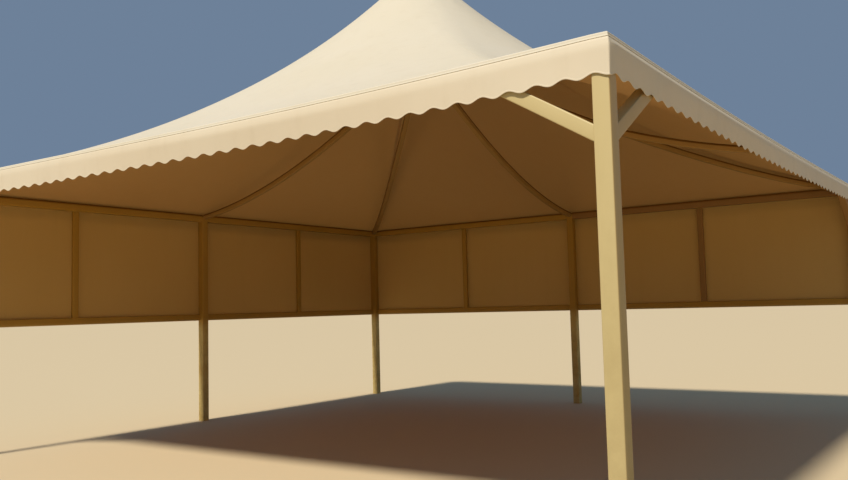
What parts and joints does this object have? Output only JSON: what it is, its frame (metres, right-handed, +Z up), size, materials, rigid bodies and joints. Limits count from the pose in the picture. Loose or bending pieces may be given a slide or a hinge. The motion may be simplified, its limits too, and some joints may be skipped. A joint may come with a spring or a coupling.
{
  "type": "square high-peak shade tent on steel posts",
  "caption": "Square fabric shade tent with a high concave peak, scalloped valance, tube-steel posts and rafters, two open sides and two sides with a half-height skirt.",
  "frame": {"origin": "middle of the square plan at ground level, where the feet of the posts stand", "axes": "+Z up; +Y from the open front side towards the skirted back side; +X from the open left side towards the skirted right side"},
  "size_m": [8.0132, 8.0132, 5.599],
  "materials": {
    "frame_paint": "satin sand-coloured paint on square steel tube",
    "rafter_paint": "satin sand-coloured paint on bent steel tube",
    "cover_fabric": "cream coated polyester fabric, matt, slightly translucent",
    "skirt_fabric": "sand coated polyester fabric, matt, slightly translucent"
  },
  "bodies": {
    "root": {"post_front_left": "frame_paint", "post_front_right": "frame_paint", "post_back_left": "frame_paint", "post_back_right": "frame_paint", "post_back_mid": "frame_paint", "post_right_mid": "frame_paint", "beam_front": "frame_paint", "beam_left": "frame_paint", "beam_back_left": "frame_paint", "beam_back_right": "frame_paint", "beam_right_front": "frame_paint", "beam_right_back": "frame_paint", "brace_front_left": "frame_paint", "brace_front_right": "frame_paint", "brace_left_front": "frame_paint", "brace_left_back": "frame_paint", "rail_back_left": "frame_paint", "rail_back_right": "frame_paint", "rail_right_front": "frame_paint", "rail_right_back": "frame_paint", "mullion_back_left": "frame_paint", "mullion_back_right": "frame_paint", "mullion_right_front": "frame_paint", "mullion_right_back": "frame_paint", "rafter_mid_front": "rafter_paint", "rafter_mid_right": "rafter_paint", "rafter_mid_back": "rafter_paint", "rafter_mid_left": "rafter_paint", "rafter_hip_front_left": "rafter_paint", "rafter_hip_front_right": "rafter_paint", "rafter_hip_back_right": "rafter_paint", "rafter_hip_back_left": "rafter_paint", "hub": "rafter_paint", "mast": "rafter_paint", "peak_cap": "cover_fabric", "roof_front": "cover_fabric", "roof_right": "cover_fabric", "roof_back": "cover_fabric", "roof_left": "cover_fabric", "valance_front": "cover_fabric", "valance_right": "cover_fabric", "valance_back": "cover_fabric", "valance_left": "cover_fabric", "skirt_back": "skirt_fabric", "skirt_right": "skirt_fabric"}
  },
  "joints": []
}
